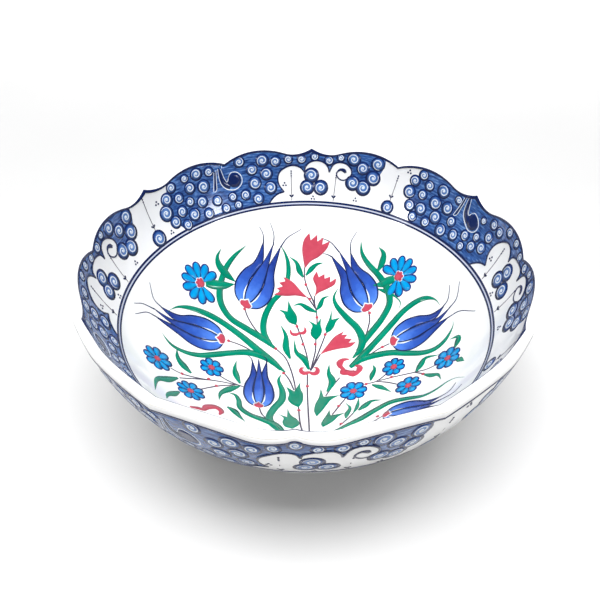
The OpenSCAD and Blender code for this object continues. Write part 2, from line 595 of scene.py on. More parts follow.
# The painter set the spots of the right inside repeat differently
RIGHT_SPOTS = [
    (-45, 30, 2.9), (-42, 26, 3.0), (-36.5, 28, 4.0), (-30, 28, 2.5), (-47.5, 24.5, 3.2),
    (-43.5, 19, 2.9), (-48.5, 17, 3.8), (-38, 18.5, 4.1), (-33, 20, 3.8), (-47, 9.5, 3.4),
    (-42.5, 10.5, 3.8), (-36, 10.5, 4.0), (-29.5, 13.5, 3.1), (-22, 12, 3.1), (-44.5, 4, 3.0),
    (-39, 4.5, 3.0), (-32, 5, 3.9), (-26.5, 6.5, 3.4), (-21.5, 4.5, 2.6), (-17.5, 9.5, 3.2),
    (-17.5, 17, 2.5), (-13.5, 13, 3.4), (-13, 21, 3.2), (-18, 29, 2.0), (-13.5, 29.5, 2.8),
    (-10, 26.5, 2.9), (-6, 30.5, 2.8), (-1, 30, 2.5), (3.5, 30.5, 2.4), (8.5, 29, 2.8),
    (12.5, 30.5, 2.2), (17, 30, 4.0), (20.5, 25, 3.8), (25.5, 29.5, 4.0),
]
# Every spot is painted this many times its listed radius
SPOT_GROWTH = 1.06
SCROLL_TURNS = 1.6
# Spots that stand out over white, with a heavier dark ring
BOLD_SPOTS = [
    (24.5, 20, 4.2), (17.5, 14.5, 4.2), (21.5, 12.5, 4.4), (2.5, 17.5, 4.2), (1, 9.5, 4.2),
    (6, 9.5, 4.3),
]
# What hangs in a gap: the lone spot near the ring, groups of dots, and the drop line's two ends
PLAIN_GAP = ((30.5, 4.2, 3.7), [(35.3, 29.5)], [(31.8, 25.5), (30.9, 8.8)])
LEFT_GAP = ((31.5, 4.6, 4.5), [(36.5, 25), (37.3, 3.8)], [(32, 31), (31.6, 9.6)])
# How far the dark ring of a spot stands out past it
BOLD_RING = 1.2
PLAIN_RING = 0.8

# The white cartouche bites three lobes and a foot out of the blue wash.
LEFT_SIDE = [(-48.5, 0.4), (-50.5, 6), (-52, 12), (-52, 18), (-51, 24), (-49.5, 29)]
RIGHT_SIDE = [(28, 29), (26.5, 22), (25, 17), (22, 11), (18, 11), (16, 15.5), (15.8, 17.5)]
HOOK_LOBE = [(15.8, 17.5), (16.7, 20), (16.4, 23.5), (14.5, 26.5), (12, 27), (10, 25), (8.8, 20)]
MID_LOBE = [(8.8, 20), (8.2, 23.5), (6.7, 26.3), (4.2, 27.4), (1.8, 26), (0.4, 23), (0, 19.5)]
LEFT_LOBE = [(0, 19.5), (-1, 22), (-2.6, 23.7), (-4.6, 24.2), (-7, 22.8), (-8.9, 20),
             (-9.6, 16), (-9.3, 12), (-8.4, 9), (-7.6, 7)]
FOOT_SWEEP = [(-7.6, 7), (-10, 6), (-12, 3.6), (-13.6, 0.4)]


class Repeat:
    """One repeat of a band: its centre, the rim's height over it, its width and its spots."""

    def __init__(self, top, at, squeeze=1.0):
        self.top = top
        self.at = at
        self.squeeze = squeeze
        self.spots = SPOTS
        self.left_shift = 0
        self.comma_shift = (0, 0)

    def lay_out(self, points):
        """Degrees and heights above the ring as paper millimetres, scaled to the rim here."""
        out = []
        for deg, height in points:
            az = self.at + deg * self.squeeze
            fit = self.top(az) / inside_top(INSIDE_REPEATS[1] + deg)
            out.append((az * DEG, height * IN_STRETCH * fit))
        return out

    def rim_run(self, first, last):
        """The band's upper edge between two of its degrees, as paper points."""
        azimuths = self.at + np.arange(first, last, 0.5) * self.squeeze
        return [(az * DEG, self.top(az)) for az in azimuths]


def wash_tone(points):
    """Even, so that the streaks come from the material alone."""
    return np.full(len(points), 0.42)


def add_wash(sheet, repeat):
    shift = repeat.left_shift
    left = curve(repeat.lay_out([(deg + shift, height) for deg, height in LEFT_SIDE]))
    rim = np.array(repeat.rim_run(shift - 49.5, 28.4))
    rest = corners(*(repeat.lay_out(run) for run in
                     (RIGHT_SIDE, HOOK_LOBE, MID_LOBE, LEFT_LOBE, FOOT_SWEEP)))
    floor = np.array(repeat.lay_out([(deg, 0.4) for deg in np.arange(-13.6, shift - 48.4, -1)]))
    sheet.outline(np.vstack([left[:-1], rim, rest, floor]), wash_tone)


def spiral(x, y, radius, start):
    """The reserved scroll inside a spot, wound clockwise inward from an angle in degrees."""
    t = np.linspace(0, 1, 24)
    angle = np.radians(start) - t * SCROLL_TURNS * 2 * np.pi
    reach = radius * (0.92 - 0.84 * t)
    return np.stack([x + reach * np.cos(angle), y + reach * np.sin(angle)], 1)


def add_spots(ring, fill, scroll, repeat, spots, heavy):
    """Dark rings, lighter discs and pale scrolls for a group of spots."""
    for index, (deg, height, radius) in enumerate(spots):
        (x, y), = repeat.lay_out([(deg, height)])
        radius = radius * SPOT_GROWTH
        y = min(y, repeat.top(x / DEG) - radius - 0.3)
        ring.disc(x, y, radius + heavy)
        fill.disc(x, y, radius * 0.98, 0.62)
        start = 40 + 0.3 * repeat.at + 47 * index
        scroll.ribbon(spiral(x, y, radius, start), (0.2, 0.75, 0.75, 0.75, 0.8))
        scroll.disc(x, y, radius * 0.2, sides=10)


def add_comma(body, edge, repeat):
    """The dark comma leaf whose tail runs up to the notch, with a thin leaf beside it."""
    right, up = repeat.comma_shift

    def place(points):
        return repeat.lay_out([(deg + right, height + up) for deg, height in points])

    (x, y), = place([(-25.2, 19.5)])
    body.disc(x, y, 5.0, sides=28)
    body.stroke(place([(-29.9, 29.5), (-29.6, 24), (-28.9, 19), (-27, 15.8)]), (0.8, 2.6, 4.6, 5.5))
    body.stroke(place([(-31.4, 28), (-32, 21), (-32.6, 16)]), (0.6, 2.4, 1.0))
    edge.stroke(place([(-27.2, 21.5), (-26, 24.6), (-23.8, 24.2), (-22.4, 20.5), (-22.9, 16),
                       (-25.3, 13.4), (-28.2, 14.6), (-30, 18.5), (-30.4, 24), (-30.2, 29)]),
                (0.3, 0.6, 0.6, 0.7, 0.7, 0.5, 0.3))
    edge.stroke(place([(-27.2, 21.5), (-27.8, 19.4), (-28.6, 22), (-29.2, 28.5)]), (0.4, 0.6, 0.3))
    edge.stroke(place([(-30.9, 28.5), (-31.6, 21), (-32.2, 16), (-33.4, 15.6), (-32.6, 21),
                       (-31.8, 27.5)]), (0.3, 0.5, 0.4, 0.5, 0.3))


def add_dots(ink, repeat, deg, height):
    """Three dots in a triangle."""
    (x, y), = repeat.lay_out([(deg, height)])
    for dx, dy in ((-1.0, -0.7), (1.0, -0.8), (0.1, 1.0)):
        ink.disc(x + dx, y + dy, 0.65, sides=8)


def add_drop_line(ink, thread, repeat, top_point, foot_point):
    """A thin hanging line with dots at its head and a small arrow at its foot."""
    (x1, y1), (x2, y2) = repeat.lay_out([top_point, foot_point])
    thread.ribbon([(x1, y1), ((x1 + x2) / 2, (y1 + y2) / 2), (x2, y2)], (0.45, 0.45))
    for step in (0.0, 1.7, 3.4):
        share = step / math.hypot(x2 - x1, y2 - y1)
        ink.disc(x1 + (x2 - x1) * share, y1 + (y2 - y1) * share, 0.55, sides=8)
    arrow_y = y2 + 3.2
    for dx, dy in ((-1.6, 0.8), (1.6, 0.8), (0, -0.4)):
        ink.stroke([(x2, arrow_y - 0.9), (x2 + dx * 0.6, arrow_y + dy * 0.4),
                    (x2 + dx, arrow_y + dy)], (0.5, 1.2, 0.7))


def add_lines(ink, thread, repeat):
    """Navy brush lines round the wash, the curl of the hook, dots and drop lines."""
    for run in (HOOK_LOBE, MID_LOBE, LEFT_LOBE, FOOT_SWEEP):
        ink.stroke(repeat.lay_out(run), (0.9, 1.1, 0.9))
    ink.stroke(repeat.lay_out([(15.8, 17.5), (14.2, 15.6), (12.7, 16), (11.6, 18), (11.6, 20.6),
                               (12.7, 22.4), (14, 22), (14.6, 20.6)]),
               (0.7, 0.9, 0.9, 0.9, 1.0, 1.8, 2.6, 1.6))
    for deg, height in ((-7.3, 12), (3.2, 2.6), (19.3, 4.0)):
        add_dots(ink, repeat, deg, height)
    add_drop_line(ink, thread, repeat, (-4.7, 20.5), (-4.9, 1.0))
    add_drop_line(ink, thread, repeat, (11.4, 20), (11, 1.0))


def add_gap(ring, fill, scroll, ink, thread, gap, motifs):
    """What hangs in the white gap between two repeats."""
    spot, dots, line = motifs
    add_spots(ring, fill, scroll, gap, [spot], BOLD_RING)
    for deg, height in dots:
        add_dots(ink, gap, deg, height)
    add_drop_line(ink, thread, gap, *line)


def edge_line(ink, top):
    """The navy line along a band's upper edge."""
    degs = np.arange(-180, 180.01, 0.5)
    ink.ribbon([(deg * DEG, top(deg) - 0.1) for deg in degs], (1.1, 1.1))


def inside_repeats():
    """The four inside repeats; the right one is narrower and has its own spots and comma."""
    repeats = [Repeat(inside_top, at) for at in INSIDE_REPEATS]
    right = repeats[2]
    right.spots = RIGHT_SPOTS
    right.left_shift = 4
    right.comma_shift = (3.5, 2.5)
    return repeats


def outside_repeats():
    return [Repeat(outside_top, at, OUTSIDE_SQUEEZE) for at in OUTSIDE_REPEATS]


def paint_band(side, paper, repeats, gaps):
    """One side's scroll band, in layers from the wash up to the ink lines."""
    wash, ring, fill, scroll, ink, thread = (Sheet() for _ in range(6))
    top = repeats[0].top
    for repeat in repeats:
        add_wash(wash, repeat)
        add_spots(ring, fill, scroll, repeat, repeat.spots, PLAIN_RING)
        add_spots(ring, fill, scroll, repeat, BOLD_SPOTS, BOLD_RING)
        add_comma(ring, scroll, repeat)
        add_lines(ink, thread, repeat)
    for index, at in enumerate(gaps):
        motifs = LEFT_GAP if side == "inside" and index == 0 else PLAIN_GAP
        add_gap(ring, fill, scroll, ink, thread, Repeat(top, at), motifs)
    edge_line(ink, top)
    lay(f"{side}_band_wash", wash, paper, 0.04, WASH)
    lay(f"{side}_band_rings", ring, paper, 0.07, DARK)
    lay(f"{side}_band_discs", fill, paper, 0.10, MID)
    lay(f"{side}_band_scrolls", scroll, paper, 0.13, RESERVE)
    lay(f"{side}_band_ink", ink, paper, 0.15, INK)
    lay(f"{side}_band_threads", thread, paper, 0.05, THREAD)


def paint_ring(side, paper):
    """Two thin navy lines with a lilac wash between them, below a band."""
    degs = np.arange(-180, 180.01, 1.0)
    wash, lines = Sheet(), Sheet()
    wash.ribbon([(deg * DEG, -1.3) for deg in degs], (2.0, 2.0))
    for height, width in ((-0.1, 1.5), (-2.45, 1.25)):
        lines.ribbon([(deg * DEG, height) for deg in degs], (width, width))
    lay(f"{side}_ring_wash", wash, paper, 0.04, LILAC)
    lay(f"{side}_ring_lines", lines, paper, 0.07, INK)


# ---------------------------------------------------------------- the bouquet


def tulip(name, base, neck, width, tips, whiskers):
    """A tulip of three long petals, from its red cup at base to pointed tips past the neck."""
    base, neck = np.array(base, float), np.array(neck, float)
    up = neck - base
    length = np.hypot(*up)
    up /= length
    across = np.array([up[1], -up[0]])

    def local(points):
        return [tuple(base + across * u * width + up * v * length) for u, v in points]

    def tone(points):
        rel = points - base
        v = rel @ up / length
        u = np.abs(rel @ across) / width
        return np.clip(0.95 - 0.75 * np.clip(v, 0, 1.2) - 0.35 * u, 0.12, 1)

    fill, heart, ink, slit = (Sheet() for _ in range(4))
    outer = [(0.10, -0.02), (0.36, 0.10), (0.50, 0.34), (0.46, 0.62), (0.30, 0.90)]
    inner = [(0.10, 0.98), (0.15, 0.75), (0.20, 0.50), (0.14, 0.22), (0.04, 0.02)]
    middle = [(0.02, 0.02), (0.13, 0.22), (0.17, 0.48), (0.13, 0.76), (0.07, 1.02)]
    for sign, tip in ((-1, tips[0]), (1, tips[2])):
        side = local([(sign * u, v) for u, v in outer]) + [tip]
        back = [tip] + local([(sign * u, v) for u, v in inner])
        fill.outline(corners(side, back), tone)
        ink.stroke(side, (0.7, 1.1, 1.0, 0.7))
        ink.stroke(back, (0.6, 0.7, 0.8, 0.6))
        slit.stroke(local([(sign * 0.09, 0.07), (sign * 0.165, 0.24), (sign * 0.20, 0.44)]),
                    (0.5, 2.0, 1.6, 0.4))
    left = local([(-u, v) for u, v in middle]) + [tips[1]]
    right = [tips[1]] + local(middle[::-1])
    heart.outline(corners(left, right), tone)
    ink.stroke(left, (0.6, 0.8, 0.7, 0.5))
    ink.stroke(right, (0.5, 0.7, 0.8, 0.6))
    for line in whiskers:
        ink.stroke(line, (1.1, 0.7, 0.4))
    lay(f"{name}_side_petals", fill, well_paper, 0.04, ROYAL)
    lay(f"{name}_middle_petal", heart, well_paper, 0.07, ROYAL)
    lay(f"{name}_slits", slit, well_paper, 0.10, RESERVE)
    lay(f"{name}_outline", ink, well_paper, 0.12, INK)
    tulip_cup(name, local, up)


def tulip_cup(name, local, up):
    """The red cup at a tulip's foot, on a white halo that is wider toward the petals."""
    points = local([(0, -0.05), (0.13, -0.02), (0.15, 0.05), (0.06, 0.085), (0, 0.13),
                    (-0.06, 0.085), (-0.15, 0.05), (-0.13, -0.02)])
    loop = curve(points + points[:1])[:-1]
    middle = loop.mean(0)
    halo, cup = Sheet(), Sheet()
    halo.outline(middle + up * 0.5 + (loop - middle) * 1.18)
    cup.outline(loop)
    lay(f"{name}_halo", halo, well_paper, 0.15, RESERVE)
    lay(f"{name}_cup", cup, well_paper, RED_LIFT, RED)


def petal_loop(centre, angle, reach, width, inset):
    """Outline of a round-tipped petal that points along an angle in radians."""
    out = np.array([math.cos(angle), math.sin(angle)])
    side = np.array([-out[1], out[0]])
    half = [(0.16, 0.16), (0.56, 0.38), (0.90, 0.56), (1.0, 0.73), (0.76, 0.91)]
    loop = []
    for u, v in half + [(0, 1.0)] + [(-u, v) for u, v in half[::-1]]:
        loop.append(centre + out * (v * reach - inset * (v > 0.5)) + side * u * (width / 2 - inset))
    return curve(loop + loop[:1], 0.9)[:-1]


def daisy(name, centre, reach, angles, heart_r):
    """A turquoise daisy with dark-edged petals at the given angles, in degrees."""
    edge, petals, heart = (Sheet() for _ in range(3))
    centre = np.array(centre, float)
    width = math.radians(abs(angles[1] - angles[0])) * 0.76 * reach
    for index, angle in enumerate(angles):
        turn = math.radians(angle)
        long = reach * (1 + 0.04 * math.sin(3.1 * index))

        def tone(points):
            away = np.abs((points - centre) @ (-math.sin(turn), math.cos(turn)))
            return np.clip(0.95 - 1.2 * away / width, 0.1, 1)

        edge.outline(petal_loop(centre, turn, long, width, 0))
        petals.outline(petal_loop(centre, turn, long, width, min(0.95, width * 0.2)), tone, 1.6)
    heart.disc(*centre, heart_r, 0.7, 16)
    lay(f"{name}_edge", edge, well_paper, 0.05, PETAL_EDGE)
    lay(f"{name}_petals", petals, well_paper, 0.08, TURQUOISE)
    lay(f"{name}_heart", heart, well_paper, RED_LIFT, RED)


def crown(name, centre, facing):
    """The lobed red heart of a big daisy, edged with white, facing away from its stalk."""
    white, red = Sheet(), Sheet()
    for step in (-72, -24, 24, 72):
        turn = math.radians(facing + step)
        x = centre[0] + 2.9 * math.cos(turn)
        y = centre[1] + 2.9 * math.sin(turn)
        white.disc(x, y, 1.7, sides=12)
        red.disc(x, y, 1.25, sides=12)
    lay(f"{name}_halo", white, well_paper, 0.12, RESERVE)
    lay(f"{name}_lobes", red, well_paper, 0.19, RED)


def paint_tulips():
    tulip("tulip_back_left", (-44.5, 48), (-31, 84), 28, [(-34.5, 99), (-26.5, 98), (-20.5, 97)],
          [[(-34.5, 98), (-35.5, 104), (-39, 109)], [(-26.5, 97), (-26.5, 105), (-30, 113)],
           [(-20.5, 96.5), (-15, 104), (-4, 110.5)]])
    tulip("tulip_back_right", (45, 45), (33, 79), 27, [(20.5, 90), (27, 92.5), (36, 90)],
          [[(20.5, 89.5), (18, 91), (14, 92.5)], [(27, 92), (20.5, 100), (12.5, 104)],
           [(36, 89), (37, 98), (42.5, 104.5)]])
    tulip("tulip_left", (-57, 16), (-93, 11.5), 26, [(-106, 7), (-108, 12.3), (-104, 17.5)],
          [[(-105, 7), (-112, 5), (-119, -4)], [(-107, 12.3), (-116, 9.5), (-122, 4)],
           [(-103, 17.6), (-110, 20), (-116, 30)]])
    tulip("tulip_right", (59, 13), (92, 13.5), 26, [(99, 21.5), (103, 17.5), (100, 10.5)],
          [[(98, 21.5), (103, 25), (107, 35)], [(102, 17.2), (109, 21), (114.5, 32)],
           [(99, 10.4), (109, 9), (119, -1)]])
    tulip("tulip_front_left", (-29, -38), (-30.5, -5), 19, [(-35.5, 4), (-31.5, 6.5), (-26, 5.5)],
          [[(-35.5, 3.5), (-36.5, 6), (-39, 8)], [(-26, 5), (-26.5, 8), (-28.5, 10)]])
    tulip("tulip_front_right", (47.5, -56), (74, -67), 22, [(82, -64), (83.5, -69), (80, -77)],
          [[(81.5, -64), (88, -63.5), (93, -58)], [(83, -69), (90, -70), (96, -66)],
           [(79.5, -76.5), (86, -81), (93, -80)]])
    tulip("tulip_low_left", (-38, -70), (-62, -85), 22, [(-69, -93), (-72, -89), (-71, -83)],
          [[(-68.5, -92.5), (-74, -97), (-80, -97)], [(-71.5, -89), (-78, -90), (-84, -86)],
           [(-70.5, -83), (-76, -80), (-80, -74)]])


def paint_daisies():
    daisy("daisy_big_left", (-79, 53), 16.0, np.linspace(52, 318, 9), 2.9)
    crown("daisy_big_left", (-79, 53), 172)
    daisy("daisy_big_right", (70.5, 62), 15.6, np.linspace(131, -129, 9), 2.9)
    crown("daisy_big_right", (70.5, 62), 8)
    small = {
        "daisy_far_left": (-96.5, -29.5, 10.6, 8),
        "daisy_mid_left": (-61.5, -12, 8.4, 7),
        "daisy_low_left": (-71.5, -44, 9.6, 8),
        "daisy_centre": (30, -22.5, 9.2, 7),
        "daisy_mid_right": (57.5, -9.5, 8.0, 7),
        "daisy_low_right": (64.5, -32.5, 8.8, 7),
        "daisy_far_right": (92.5, -25, 9.6, 7),
        "daisy_front_left": (-20, -88, 9.2, 7),
        "daisy_front_right": (30, -86, 9.2, 7),
    }
    for name, (x, y, reach, count) in small.items():
        daisy(name, (x, y), reach, 20 + x + np.arange(count) * 360 / count, 2.2)


# Outlines with pointed teeth: up the left edge from the foot, the teeth, and down the right edge
CARNATIONS = {
    "carnation_top": (
        [(-0.8, 82), (-2, 88), (-3, 96), (-1.5, 103), (3, 108)],
        [(4, 102.5), (9.5, 106.5), (9.5, 101.5), (14.5, 104), (13.5, 99)],
        [(20, 101), (17, 95.5), (11, 90.5), (4, 87), (0.8, 83.5)]),
    "carnation_left": (
        [(1.5, 59.5), (-4, 65), (-9, 70.5), (-14, 73.5), (-17.5, 74.5)],
        [(-15.5, 71.5), (-20.5, 70), (-17.5, 67.5), (-22, 65.5), (-19, 63.5)],
        [(-24, 60.5), (-15, 60.2), (-7, 61)]),
    "carnation_middle": (
        [(6.5, 60), (7.8, 67), (5.5, 74), (8.5, 79.5)],
        [(10, 75), (14.5, 77), (14.5, 73.5), (19, 74.8), (18.5, 70.5)],
        [(23.5, 73), (22, 68.5), (16, 65.5), (9.5, 63)]),
    "carnation_low": (
        [(9.5, 13.5), (14, 20), (20, 27.5), (27, 31)],
        [(25, 28.3), (29, 27.8), (26.8, 25), (32, 23.8), (29.5, 21)],
        [(34.5, 20.5), (30, 17.2), (22, 17), (14, 15.5)]),
}

# Red cloud bands: centre line and the width along it
CLOUD_BANDS = {
    "cloud_upper": (
        [(-11, 34), (-10, 31), (-7, 30.2), (-4.5, 31.6), (-2, 31.6), (-0.4, 33.4), (-0.8, 36.4)],
        (0.8, 2.0, 2.6, 1.6, 2.6, 2.2, 0.6)),
    "cloud_middle": (
        [(-0.8, 2.4), (-2.8, 2.2), (-3.2, -0.4), (-1, -2.4), (1.4, -1.6), (2.8, -1.6), (4.6, -2.8),
         (7, -2.2), (7.8, 0.2), (7, 2.4), (5.2, 2.4)],
        (0.4, 1.8, 3.0, 3.4, 2.4, 2.0, 3.0, 3.6, 3.0, 1.8, 0.4)),
    "cloud_right": (
        [(29, 7), (25, 7.2), (22.6, 5), (22.8, 1.8), (24.4, -0.6), (24.6, -3.2), (28, -4.8),
         (31, -6.2), (34, -5.4), (35.4, -2.8), (34.6, -0.4), (32.4, 0.4)],
        (0.8, 3.0, 5.0, 3.2, 2.6, 5.6, 4.2, 5.8, 3.4, 4.6, 2.8, 0.6)),
    "cloud_front": (
        [(-69.5, -64.5), (-65, -61.5), (-61.5, -60), (-60, -55.5), (-55, -51.5), (-51, -54),
         (-51.8, -59.5)],
        (1.5, 3.2, 2.2, 4.8, 4.4, 4.6, 3.6, 1.0)),
}


def paint_reds():
    for name, edges in CARNATIONS.items():
        flower = Sheet()
        flower.outline(toothed(*edges))
        lay(name, flower, well_paper, RED_LIFT, RED)
    for name, (line, widths) in CLOUD_BANDS.items():
        cloud = Sheet()
        cloud.stroke(line, widths, (0.5, 0.5))
        lay(name, cloud, well_paper, RED_LIFT, RED)


# Long leaves: centre line and the width along it
LONG_LEAVES = {
    "leaf_back_left": (
        [(-20, 17), (-30, 24.5), (-42, 30), (-54, 35), (-62, 44), (-64.5, 55), (-63.5, 66),
         (-61, 75), (-56, 84), (-48.5, 93)],
        (1.5, 4.6, 4.6, 4.4, 4.6, 4.6, 4.0, 3.6, 2.6, 0.2)),
    "leaf_left_curl": (
        [(-24, 20), (-29.5, 30), (-29.5, 42), (-25, 54), (-19, 62), (-15, 69), (-13.5, 77),
         (-14, 85), (-16.5, 92), (-20.5, 98)],
        (3.0, 4.2, 4.2, 3.8, 3.4, 3.2, 3.4, 3.0, 1.6, 0.2)),
    "leaf_left": (
        [(-13.5, -2), (-22, 6), (-32, 14), (-45, 23), (-58, 29), (-70, 31.5), (-82, 30.5),
         (-91, 26.5), (-96, 21), (-98, 16.5)],
        (1.0, 4.6, 5.0, 4.6, 4.4, 4.4, 3.6, 1.8, 0.4, 0.2)),
    "leaf_low_left": (
        [(-16, 0), (-25, 8), (-38, 10.5), (-50, 6.5), (-60, 1), (-70, -5), (-80, -8.5),
         (-90, -8.5), (-98, -3.5)],
        (2.6, 4.8, 4.8, 4.2, 4.4, 3.8, 3.2, 2.2, 0.2)),
    "leaf_right": (
        [(29.5, 1), (38, 8), (48, 17), (60, 27), (70, 34), (80, 37), (88, 36), (94, 31),
         (96.5, 24.5)],
        (2.4, 4.8, 4.6, 4.6, 4.4, 4.2, 3.2, 1.0, 0.2)),
    "leaf_low_right": (
        [(29, 0), (38, 5), (48, 5.5), (58, 3.5), (68, -2), (78, -7.5), (86, -9.5), (94, -7),
         (101, 0), (102.5, 5)],
        (2.8, 4.6, 4.8, 4.6, 4.2, 4.0, 3.8, 3.0, 0.8, 0.2)),
    "leaf_right_curl": (
        [(31.5, 7.5), (37, 14), (39, 22), (36, 32), (29, 42), (22.5, 52), (21, 59), (24.5, 65.5)],
        (1.2, 4.4, 5.0, 4.4, 4.0, 3.0, 1.8, 0.2)),
    "leaf_back_right": (
        [(35, 13), (44, 24), (54, 34), (61, 44), (61.5, 54), (59, 62), (55, 70), (49, 79),
         (45, 88), (45.2, 97)],
        (2.4, 4.6, 4.6, 4.6, 4.6, 4.4, 4.0, 3.6, 2.6, 0.3)),
    "leaf_front_left": (
        [(-13, -66), (-18, -57), (-25, -52.5), (-34, -49), (-40, -43.5), (-41.5, -36),
         (-44, -31.5), (-48, -31)],
        (3.0, 5.2, 5.2, 4.2, 3.6, 3.0, 2.2, 0.3)),
    "leaf_front_upright": (
        [(-14, -66), (-20, -56), (-22, -48), (-19.5, -38), (-15, -28), (-15, -19), (-17.5, -10),
         (-16, -4)],
        (3.0, 4.6, 4.2, 4.4, 4.4, 3.6, 2.0, 0.2)),
    "leaf_front_right": (
        [(15, -66), (24, -59), (33, -53.5), (42, -47.5), (52, -43.5), (62, -46), (72, -51),
         (80, -51.5), (88, -50), (94, -52), (99, -58.5)],
        (1.5, 3.2, 4.8, 4.6, 4.4, 3.8, 2.6, 2.0, 1.2, 0.5, 0.2)),
    "calyx_left": (
        [(-75.5, 54.5), (-70, 56), (-62, 58.5), (-54, 62)],
        (4.2, 6.6, 5.6, 0.5)),
    "calyx_left_leaf": (
        [(-53.5, 64), (-61, 67.5), (-67.5, 72), (-70, 78), (-68, 85)],
        (0.5, 5.4, 5.0, 2.4, 0.2)),
    "calyx_right": (
        [(67.5, 61.8), (62, 61.5), (57, 61), (51, 62)],
        (4.6, 6.4, 4.6, 0.6)),
    "calyx_right_leaf": (
        [(56, 72), (60, 77), (62, 83), (59, 89)],
        (2.0, 5.0, 3.4, 0.2)),
    "calyx_right_tail": (
        [(53.5, 58.5), (60, 54), (66, 48), (69, 42), (67.5, 37.5)],
        (0.6, 3.0, 1.2, 0.8, 0.2)),
    "stem_front_left": (
        [(-13, -66), (-6, -80), (0, -98)],
        (3.0, 3.6, 2.6)),
    "stem_front_right": (
        [(15, -66), (9, -80), (4, -98)],
        (1.5, 3.4, 2.6)),
    "tuft_left": (
        [(2, -112), (-6, -106), (-16, -104), (-26, -110)],
        (3.0, 5.0, 3.6, 0.3)),
    "tuft_right": (
        [(3, -112), (11, -106), (21, -104), (31, -110)],
        (3.0, 5.0, 3.6, 0.3)),
    "tuft_middle": (
        [(2.5, -114), (2, -104), (2, -94)],
        (4.0, 5.0, 1.0)),
}

# Every leaf is painted this many times its listed widths
LEAF_GROWTH = 1.1

# Small leaves: line through the leaf, and its greatest width
SMALL_LEAVES = [
    ([(-2, 75), (-5, 80), (-7.5, 86), (-13, 90)], 4.0),
    ([(0, 76.5), (4, 81), (8.5, 84.5), (14, 85.5)], 3.6),
    ([(8, 48), (2, 51), (-4, 54.5), (-9.5, 53)], 3.4),
    ([(8, 50), (10.5, 53.5), (13, 58.5), (17.5, 60)], 3.4),
    ([(-10.5, 10), (-13.5, 19), (-14, 29), (-18, 37.5)], 4.4),
    ([(2, 1), (-1, 10), (-6.5, 16), (-8, 26)], 4.2),
    ([(13.5, -20), (17, -11), (15, -3), (15.5, 5)], 4.4),
    ([(24, -50), (25, -45), (27, -39), (24.5, -33)], 3.0),
    ([(32, -43.5), (36, -40), (40.5, -36.5), (47, -38)], 4.2),
    ([(28.5, -46), (31.5, -39), (33, -30)], 2.4), ([(41.5, -16), (43, -11), (45, -6), (44, -2)], 3.4),
    ([(42, -20), (46.5, -24), (50, -28), (53.5, -33)], 3.4),
    ([(71, -22), (74.5, -18), (79, -13.5), (88, -17)], 4.4),
    ([(75, -27.5), (80, -33), (84, -36), (85, -43)], 3.4),
    ([(98, -20), (102, -15), (102.5, -11), (97, -9)], 4.2), ([(97, -32), (99.5, -34), (102, -39)], 4.0),
    ([(-42, -19), (-45, -12), (-46.5, -6), (-46, 1)], 4.0),
    ([(-42, -21.5), (-48, -27), (-53, -34), (-53.5, -42)], 4.4),
    ([(-73.5, -25.5), (-79, -22), (-84, -17), (-86, -9.5)], 5.2),
    ([(-81, -37), (-87, -45), (-93, -53), (-92, -69)], 5.0),
    ([(-78, -51.5), (-81, -58), (-84, -64), (-84, -71)], 4.4),
    ([(-48, -46.5), (-43.5, -49), (-40, -54), (-36, -59)], 4.6),
    ([(-27, -66), (-32, -74), (-32, -82)], 3.6), ([(36, -64), (42, -72), (41, -80)], 3.6),
    ([(-44, -98), (-52, -104), (-62, -104)], 4.0), ([(48, -98), (56, -103), (66, -102)], 4.0),
]

# Green buds, outlined like the carnations
BUDS = [
    ([(-7, 38), (-11.5, 39.5), (-14.5, 43), (-16, 46.5), (-20.5, 49.5)],
     [(-13.5, 48.5)],
     [(-13, 57), (-10, 51), (-7, 46.5), (-6, 42)]),
    ([(7, 25.5), (3.5, 30), (3.6, 34.5), (4.6, 37.5), (1.6, 42)],
     [(7.4, 38.5)],
     [(11, 43.5), (10.6, 38), (11.4, 34), (10.6, 30)]),
    ([(14.5, 31), (13.6, 34.5), (15, 38.5), (16.6, 42), (19, 49.5)],
     [(18.6, 41.5)],
     [(25, 42.5), (21.5, 39), (20, 35.5), (17.5, 32.5)]),
    ([(-4.5, -35), (-9, -31.5), (-11.3, -27), (-10.6, -21.5), (-12.6, -15)],
     [(-7.4, -19)],
     [(-3.4, -10), (-3.4, -16), (-1.6, -22), (-2, -29)]),
    ([(-8, -60), (-12.5, -57.5), (-14, -52), (-13.4, -47.5), (-16.5, -43.5)],
     [(-11.4, -46)],
     [(-11.2, -36.5), (-9, -43.5), (-5, -48.5), (-4, -54.5)]),
    ([(10, -58), (9, -54), (10.5, -48.5), (12, -45), (14.5, -38.5)],
     [(15, -44.5)],
     [(24, -43.5), (19.5, -47), (17, -51), (14, -54.5)]),
    ([(6.5, -45), (5, -38.5), (6, -31), (8, -25.5), (9.5, -16.5)],
     [(11.2, -24.5)],
     [(21.5, -24.5), (16, -28), (13, -33), (10, -39)]),
]


def paint_leaves():
    for name, (line, widths) in LONG_LEAVES.items():
        leaf = Sheet()
        leaf.stroke(line, [width * LEAF_GROWTH for width in widths], (0.35, 0.6))
        lay(name, leaf, well_paper, 0.06, GREEN)
    groups = {"left": Sheet(), "middle": Sheet(), "right": Sheet()}
    for line, width in SMALL_LEAVES:
        x = line[0][0]
        leaf = groups["left" if x < -30 else "right" if x > 30 else "middle"]
        shape = (0.3, 1.0, 0.6, 0.05) if len(line) > 3 else (0.2, 1.0, 0.05)
        leaf.stroke(line, [width * LEAF_GROWTH * share for share in shape], (0.35, 0.6))
    for side, leaf in groups.items():
        lay(f"small_leaves_{side}", leaf, well_paper, 0.05, GREEN)
    for index, edges in enumerate(BUDS):
        bud = Sheet()
        bud.outline(toothed(*edges))
        lay(f"bud_{index + 1}", bud, well_paper, 0.06, GREEN)


